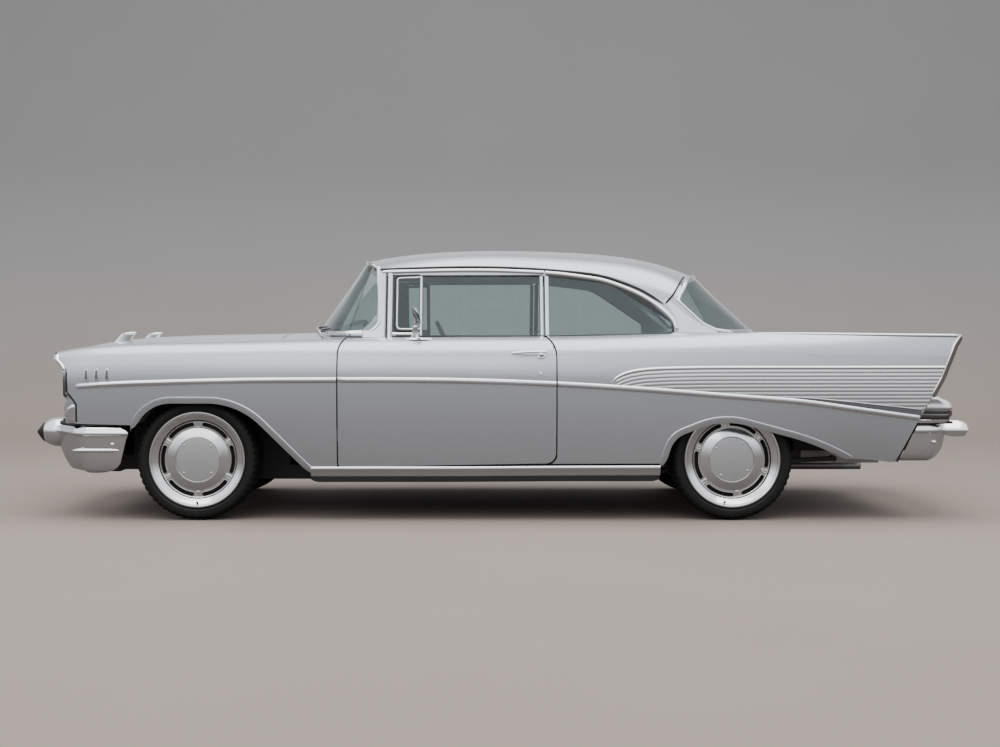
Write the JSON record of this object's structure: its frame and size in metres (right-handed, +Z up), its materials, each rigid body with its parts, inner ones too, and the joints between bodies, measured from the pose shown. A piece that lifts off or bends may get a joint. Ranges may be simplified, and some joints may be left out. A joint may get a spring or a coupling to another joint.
{
  "type": "1950s two-door hardtop car",
  "caption": "Low two-door hardtop of the late 1950s with tail fins, wraparound glass, opening doors, hood and trunk lid, steered front wheels and free-rolling road wheels.",
  "frame": {"origin": "on the ground under the middle of the car's overall box", "axes": "+X rearwards along the car, +Y towards the car's right side, +Z up"},
  "size_m": [5.1389, 1.8918, 1.4934],
  "materials": {
    "body_paint": "metallic gloss",
    "frame_black": "satin",
    "floor_black": "matt underseal",
    "engine_iron": "cast",
    "exhaust_steel": "dull",
    "tank_steel": "dull",
    "tinted_glass": "green tint",
    "grille_metal": "satin",
    "bright_chrome": "polished",
    "lamp_glass": "fluted lens",
    "tail_lens": "moulded lens",
    "dash_paint": "semi-gloss",
    "seat_cloth": "woven",
    "steering_plastic": "moulded",
    "wheel_metal": "machined and painted",
    "tyre_rubber": "matt"
  },
  "bodies": {
    "body": {"chassis_frame": "frame_black", "floor_pan": "floor_black", "sills": "body_paint", "front_suspension": "frame_black", "rear_axle": "frame_black", "engine_block": "engine_iron", "exhaust": "exhaust_steel", "fuel_tank": "tank_steel", "radiator": "frame_black", "fender_left": "body_paint", "fender_right": "body_paint", "front_housings": "floor_black", "rear_housings": "floor_black", "quarter_left": "body_paint", "quarter_right": "body_paint", "cowl": "body_paint", "roof": "body_paint", "rear_deck": "body_paint", "tail_panel": "body_paint", "windscreen": "tinted_glass", "rear_glass": "tinted_glass", "quarter_glass": "tinted_glass", "grille": "grille_metal", "front_bumper": "bright_chrome", "rear_bumper": "bright_chrome", "headlamps": "lamp_glass", "tail_lamps": "tail_lens", "dashboard": "dash_paint", "front_seat": "seat_cloth", "rear_seat": "seat_cloth", "steering_column": "dash_paint"},
    "hood": {"hood": "body_paint"},
    "trunk_lid": {"trunk_lid": "body_paint"},
    "door_left": {"door_left": "body_paint", "door_glass_left": "tinted_glass", "mirror": "bright_chrome"},
    "door_right": {"door_right": "body_paint", "door_glass_right": "tinted_glass"},
    "steering_wheel": {"steering_wheel": "steering_plastic"},
    "knuckle_left": {"knuckle_left": "frame_black"},
    "knuckle_right": {"knuckle_right": "frame_black"},
    "wheel_front_left": {"wheel_front_left": "wheel_metal", "tyre_front_left": "tyre_rubber"},
    "wheel_front_right": {"wheel_front_right": "wheel_metal", "tyre_front_right": "tyre_rubber"},
    "wheel_rear_left": {"wheel_rear_left": "wheel_metal", "tyre_rear_left": "tyre_rubber"},
    "wheel_rear_right": {"wheel_rear_right": "wheel_metal", "tyre_rear_right": "tyre_rubber"}
  },
  "joints": [
    {"name": "hood_open", "type": "hinge", "parent": "body", "child": "hood", "pos_m": [-1.1865, 0, 1.016], "axis": [0, 1, 0], "range_deg": [0, 50]},
    {"name": "trunk_open", "type": "hinge", "parent": "body", "child": "trunk_lid", "pos_m": [1.6145, 0, 1.004], "axis": [0, -1, 0], "range_deg": [0, 55]},
    {"name": "door_left_open", "type": "hinge", "parent": "body", "child": "door_left", "pos_m": [-0.841, -0.914, 0.6], "axis": [0, 0, -1], "range_deg": [0, 65]},
    {"name": "door_right_open", "type": "hinge", "parent": "body", "child": "door_right", "pos_m": [-0.841, 0.914, 0.6], "axis": [0, 0, 1], "range_deg": [0, 65]},
    {"name": "steer_left", "type": "hinge", "parent": "body", "child": "knuckle_left", "pos_m": [-1.618, -0.655, 0.327], "axis": [0, 0, 1], "range_deg": [-30, 30]},
    {"name": "steer_right", "type": "hinge", "parent": "body", "child": "knuckle_right", "pos_m": [-1.618, 0.655, 0.327], "axis": [0, 0, 1], "range_deg": [-30, 30]},
    {"name": "steering_turn", "type": "hinge", "parent": "body", "child": "steering_wheel", "pos_m": [-0.253, -0.38, 0.887], "axis": [0.9063, 0, 0.4226], "range_deg": [-400, 400]},
    {"name": "spin_front_left", "type": "hinge", "parent": "knuckle_left", "child": "wheel_front_left", "pos_m": [-1.618, -0.735, 0.327], "axis": [0, 1, 0], "continuous": true},
    {"name": "spin_front_right", "type": "hinge", "parent": "knuckle_right", "child": "wheel_front_right", "pos_m": [-1.618, 0.735, 0.327], "axis": [0, 1, 0], "continuous": true},
    {"name": "spin_rear_left", "type": "hinge", "parent": "body", "child": "wheel_rear_left", "pos_m": [1.262, -0.735, 0.327], "axis": [0, 1, 0], "continuous": true},
    {"name": "spin_rear_right", "type": "hinge", "parent": "body", "child": "wheel_rear_right", "pos_m": [1.262, 0.735, 0.327], "axis": [0, 1, 0], "continuous": true}
  ],
  "couplings": [
    {"joint": "steer_right", "follows": "steer_left", "ratio": 1},
    {"joint": "steering_turn", "follows": "steer_left", "ratio": 12}
  ]
}
